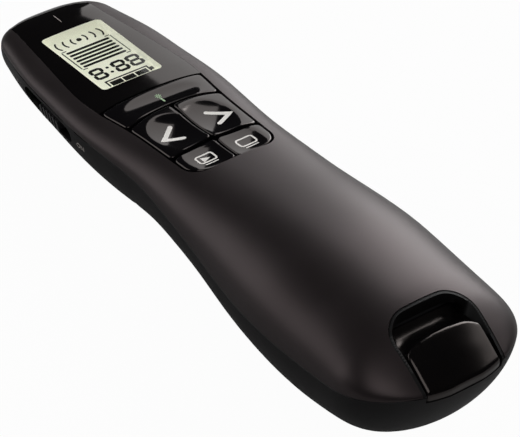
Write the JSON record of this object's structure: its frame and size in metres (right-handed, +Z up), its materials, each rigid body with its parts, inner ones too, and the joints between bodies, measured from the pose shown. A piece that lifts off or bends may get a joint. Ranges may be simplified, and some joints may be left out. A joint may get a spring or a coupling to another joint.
{
  "type": "wireless presentation clicker",
  "caption": "Hand-held wireless presenter with a small display, glossy sprung keys, a laser tip, side switch and keys, a battery door, and a USB receiver stored in its tail.",
  "frame": {"origin": "centre of the footprint, on the surface it lies on", "axes": "+Y forward to the laser end, +X to the right, +Z up through the keys"},
  "size_m": [0.0388, 0.1298, 0.0296],
  "materials": {
    "soft_touch": "soft-touch, satin",
    "case_black": "fine matt texture",
    "gloss_black": "polished",
    "clear_window": "clear, polished",
    "display_glass": "grey-green liquid crystal",
    "white_plastic": "white",
    "conductive_rubber": "grey",
    "inner_black": "matt",
    "plunger_white": "matt",
    "board_green": "solder mask, satin",
    "control_black": "satin",
    "flag_green": "satin",
    "steel": "nickel plated",
    "brass": "turned",
    "battery_wrap": "plain printed foil",
    "plug_steel": "plated"
  },
  "bodies": {
    "housing": {"top_shell": "soft_touch", "bottom_shell": "case_black", "display_panel": "gloss_black", "display_window": "clear_window", "display_cell": "display_glass", "display_holder": "white_plastic", "display_reflector": "white_plastic", "zebra_strip": "conductive_rubber", "key_frame": "inner_black", "key_switches": "inner_black", "main_board": "board_green", "board_screws": "steel", "control_chip": "inner_black", "radio_chip": "inner_black", "crystal": "steel", "slide_switch": "inner_black", "side_switches": "inner_black", "side_board": "board_green", "laser_barrel": "brass", "laser_lens": "clear_window", "laser_diode": "steel", "laser_window": "clear_window", "left_battery": "battery_wrap", "right_battery": "battery_wrap", "battery_springs": "steel", "contact_plates": "steel", "battery_tray": "inner_black", "motor_can": "steel", "receiver_bay": "gloss_black", "case_screws": "steel"},
    "laser_button": {"laser_key": "gloss_black", "laser_plunger": "plunger_white"},
    "back_button": {"back_key": "gloss_black", "back_plunger": "plunger_white"},
    "next_button": {"next_key": "gloss_black", "next_plunger": "plunger_white"},
    "slideshow_button": {"slideshow_key": "gloss_black", "slideshow_plunger": "plunger_white"},
    "blank_button": {"blank_key": "gloss_black", "blank_plunger": "plunger_white"},
    "minus_button": {"minus_key": "control_black", "minus_plunger": "plunger_white"},
    "timer_button": {"timer_key": "control_black", "timer_plunger": "plunger_white"},
    "plus_button": {"plus_key": "control_black", "plus_plunger": "plunger_white"},
    "power_slide": {"power_slider": "control_black", "power_flag": "flag_green", "switch_lever": "plunger_white"},
    "door": {"battery_door": "case_black", "door_latch": "case_black"},
    "receiver": {"receiver_cap": "gloss_black", "receiver_housing": "inner_black", "receiver_board": "board_green", "usb_shell": "plug_steel", "usb_tongue": "inner_black", "usb_contacts": "brass"},
    "motor_rotor": {"motor_shaft": "steel", "motor_weight": "steel"}
  },
  "joints": [
    {"name": "laser_press", "type": "slide", "parent": "housing", "child": "laser_button", "axis": [0, -0.1642, -0.9864], "range_m": [0, 0.0004], "stiffness_N_per_m": 2000},
    {"name": "back_press", "type": "slide", "parent": "housing", "child": "back_button", "axis": [0, -0.1642, -0.9864], "range_m": [0, 0.0004], "stiffness_N_per_m": 2000},
    {"name": "next_press", "type": "slide", "parent": "housing", "child": "next_button", "axis": [0, -0.1642, -0.9864], "range_m": [0, 0.0004], "stiffness_N_per_m": 2000},
    {"name": "slideshow_press", "type": "slide", "parent": "housing", "child": "slideshow_button", "axis": [0, -0.1642, -0.9864], "range_m": [0, 0.0004], "stiffness_N_per_m": 2000},
    {"name": "blank_press", "type": "slide", "parent": "housing", "child": "blank_button", "axis": [0, -0.1642, -0.9864], "range_m": [0, 0.0004], "stiffness_N_per_m": 2000},
    {"name": "minus_press", "type": "slide", "parent": "housing", "child": "minus_button", "axis": [-0.974, -0.0557, 0.2197], "range_m": [0, 0.0004], "stiffness_N_per_m": 1500},
    {"name": "timer_press", "type": "slide", "parent": "housing", "child": "timer_button", "axis": [-0.974, -0.0557, 0.2197], "range_m": [0, 0.0004], "stiffness_N_per_m": 1500},
    {"name": "plus_press", "type": "slide", "parent": "housing", "child": "plus_button", "axis": [-0.974, -0.0557, 0.2197], "range_m": [0, 0.0004], "stiffness_N_per_m": 1500},
    {"name": "power_slide_travel", "type": "slide", "parent": "housing", "child": "power_slide", "axis": [0.0803, 0.9913, -0.1047], "range_m": [0, 0.004]},
    {"name": "door_hinge", "type": "hinge", "parent": "housing", "child": "door", "pos_m": [0, -0.0033, 0.0026], "axis": [1, 0, 0], "range_deg": [0, 75]},
    {"name": "receiver_travel", "type": "slide", "parent": "housing", "child": "receiver", "axis": [0, -1, 0], "range_m": [0, 0.045]},
    {"name": "motor_spin", "type": "hinge", "parent": "housing", "child": "motor_rotor", "pos_m": [0, -0.012, 0.02], "axis": [0, 1, 0], "continuous": true}
  ]
}
